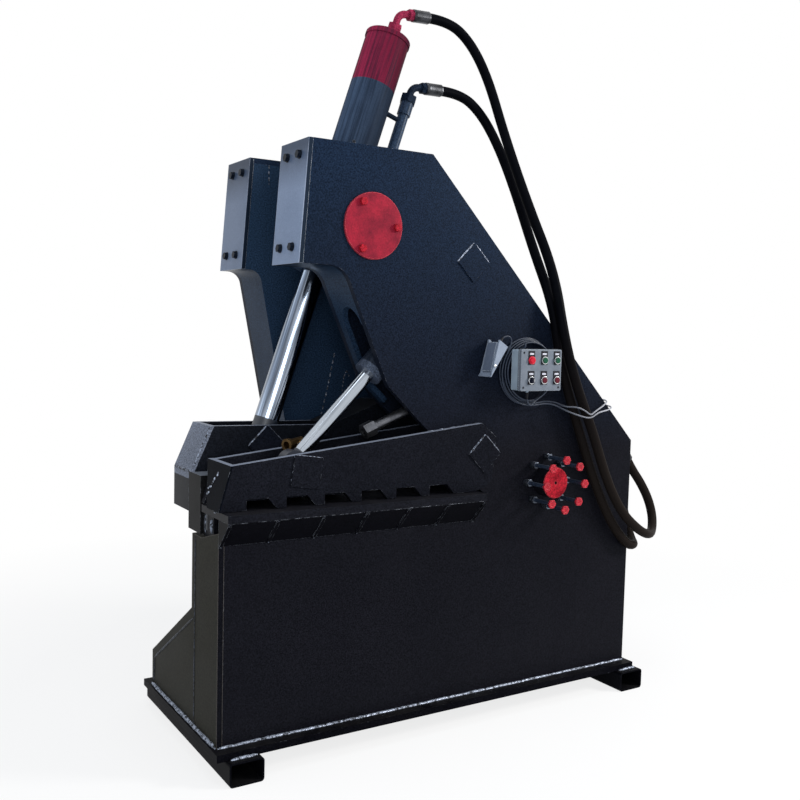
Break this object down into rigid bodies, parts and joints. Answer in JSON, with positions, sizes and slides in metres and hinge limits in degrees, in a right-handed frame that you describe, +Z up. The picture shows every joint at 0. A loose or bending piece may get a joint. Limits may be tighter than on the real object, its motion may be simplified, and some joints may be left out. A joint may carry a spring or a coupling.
{
  "type": "hydraulic alligator shear",
  "caption": "Floor-standing hydraulic scrap shear with a hinged jaw, toothed hold-down arm, leaning main cylinder, hoses, push-button box and foot switch.",
  "frame": {"origin": "on the floor under the middle of the machine's own box, hoses and cables left out", "axes": "+Z up; +X from the jaw's mouth to the rear; -Y is the operator's side with the hold-down arm"},
  "size_m": [2.0439, 0.909, 2.6904],
  "materials": {
    "black_paint": "semi-gloss black enamel with a blue cast",
    "red_paint": "gloss red enamel",
    "plain_steel": "machined and plated steel",
    "bearing_bronze": "turned bronze",
    "hard_chrome": "polished hard chrome",
    "yellow_zinc": "yellow passivated zinc",
    "hose_rubber": "matt hose cover",
    "cable_rubber": "satin cable sheath",
    "grey_enclosure": "light grey enclosure",
    "legend_black": "black moulded plastic",
    "bezel_chrome": "plated ring",
    "button_red": "gloss",
    "button_green": "gloss",
    "button_dark_red": "gloss"
  },
  "bodies": {
    "frame": {"near_outer_plate": "black_paint", "near_inner_plate": "black_paint", "far_inner_plate": "black_paint", "far_outer_plate": "black_paint", "spine_plate": "black_paint", "throat_plates": "black_paint", "front_covers": "black_paint", "base_plate": "black_paint", "base_skids": "black_paint", "discharge_chute": "black_paint", "feed_table": "black_paint", "ledge_gussets": "black_paint", "lower_blade_seat": "black_paint", "presser_cylinder_pin": "black_paint", "throat_pipe_stub": "black_paint", "coil_hook": "black_paint", "trunnion_covers": "red_paint", "main_shaft": "red_paint", "adjusting_bolts": "red_paint", "cover_bolts": "red_paint", "adjusting_lock_nuts": "plain_steel", "lower_blade_bolts": "plain_steel", "lower_blade": "plain_steel", "thrust_ring": "plain_steel", "rear_hose_elbows": "plain_steel", "trunnion_bushes": "bearing_bronze", "pressure_hose": "hose_rubber", "return_hose": "hose_rubber", "cable_coil": "cable_rubber", "box_lead": "cable_rubber", "control_cable": "cable_rubber", "pedal_cable": "cable_rubber", "control_box": "grey_enclosure", "control_box_lid": "grey_enclosure", "pedal_base": "grey_enclosure", "legend_plates": "legend_black", "button_bezels": "bezel_chrome"},
    "main_cylinder": {"main_barrel": "black_paint", "main_gland": "black_paint", "side_tube": "black_paint", "cylinder_hose_elbows": "plain_steel"},
    "main_piston_rod": {"main_rod": "hard_chrome"},
    "jaw": {"jaw_beam": "black_paint", "jaw_box": "black_paint", "upper_blade": "plain_steel", "upper_blade_bolts": "plain_steel", "jaw_rod_pin": "black_paint"},
    "hold_down": {"presser_arm": "black_paint", "presser_pivot_pin": "black_paint", "presser_rod_pin": "black_paint", "presser_pipe_union": "yellow_zinc"},
    "hold_down_cylinder": {"presser_barrel": "black_paint"},
    "hold_down_piston_rod": {"presser_rod": "hard_chrome"},
    "treadle": {"foot_treadle": "legend_black"},
    "selector": {"selector_knob": "legend_black"},
    "red_button_body": {"red_button": "button_red"},
    "green_button_left_body": {"green_button_left": "button_green"},
    "green_button_right_body": {"green_button_right": "button_green"},
    "dark_button_left_body": {"dark_button_left": "button_dark_red"},
    "dark_button_right_body": {"dark_button_right": "button_dark_red"}
  },
  "joints": [
    {"name": "jaw_hinge", "type": "hinge", "parent": "frame", "child": "jaw", "pos_m": [0.3802, 0.0165, 0.893], "axis": [0, 1, 0], "range_deg": [0, 15]},
    {"name": "main_cylinder_swing", "type": "hinge", "parent": "frame", "child": "main_cylinder", "pos_m": [-0.4198, 0.0165, 1.813], "axis": [0, 1, 0], "range_deg": [0, 1.8], "deforming": ["pressure_hose", "return_hose"]},
    {"name": "main_rod_slide", "type": "slide", "parent": "main_cylinder", "child": "main_piston_rod", "axis": [0.3155, 0, 0.9489], "range_m": [0, 0.2776]},
    {"name": "hold_down_hinge", "type": "hinge", "parent": "frame", "child": "hold_down", "pos_m": [0.0632, -0.2235, 1.016], "axis": [0, 1, 0], "range_deg": [0, 15]},
    {"name": "hold_down_cylinder_swing", "type": "hinge", "parent": "frame", "child": "hold_down_cylinder", "pos_m": [0.0062, -0.2475, 1.714], "axis": [0, 1, 0], "range_deg": [0, 7.92]},
    {"name": "hold_down_rod_slide", "type": "slide", "parent": "hold_down_cylinder", "child": "hold_down_piston_rod", "axis": [0.6916, 0, 0.7223], "range_m": [0, 0.1438]},
    {"name": "foot_treadle_press", "type": "hinge", "parent": "frame", "child": "treadle", "pos_m": [0.05961, -0.3645, 1.34319], "axis": [0, 1, 0], "range_deg": [0, 6], "stiffness_Nm_per_rad": 5, "springref_deg": -5.73},
    {"name": "selector_turn", "type": "hinge", "parent": "frame", "child": "selector", "pos_m": [0.2007, -0.4375, 1.292], "axis": [0, 1, 0], "range_deg": [-45, 45]},
    {"name": "red_button_press", "type": "slide", "parent": "frame", "child": "red_button_body", "axis": [0, 1, 0], "range_m": [0, 0.005], "stiffness_N_per_m": 600, "springref_m": -0.002},
    {"name": "green_button_left_press", "type": "slide", "parent": "frame", "child": "green_button_left_body", "axis": [0, 1, 0], "range_m": [0, 0.005], "stiffness_N_per_m": 600, "springref_m": -0.002},
    {"name": "green_button_right_press", "type": "slide", "parent": "frame", "child": "green_button_right_body", "axis": [0, 1, 0], "range_m": [0, 0.005], "stiffness_N_per_m": 600, "springref_m": -0.002},
    {"name": "dark_button_left_press", "type": "slide", "parent": "frame", "child": "dark_button_left_body", "axis": [0, 1, 0], "range_m": [0, 0.005], "stiffness_N_per_m": 600, "springref_m": -0.002},
    {"name": "dark_button_right_press", "type": "slide", "parent": "frame", "child": "dark_button_right_body", "axis": [0, 1, 0], "range_m": [0, 0.005], "stiffness_N_per_m": 600, "springref_m": -0.002}
  ],
  "couplings": [
    {"joint": "main_cylinder_swing", "follows": "jaw_hinge", "ratio": 0.12},
    {"joint": "main_rod_slide", "follows": "jaw_hinge", "m_per_rad": 1.06},
    {"joint": "hold_down_cylinder_swing", "follows": "hold_down_hinge", "ratio": 0.528},
    {"joint": "hold_down_rod_slide", "follows": "hold_down_hinge", "m_per_rad": 0.549}
  ]
}
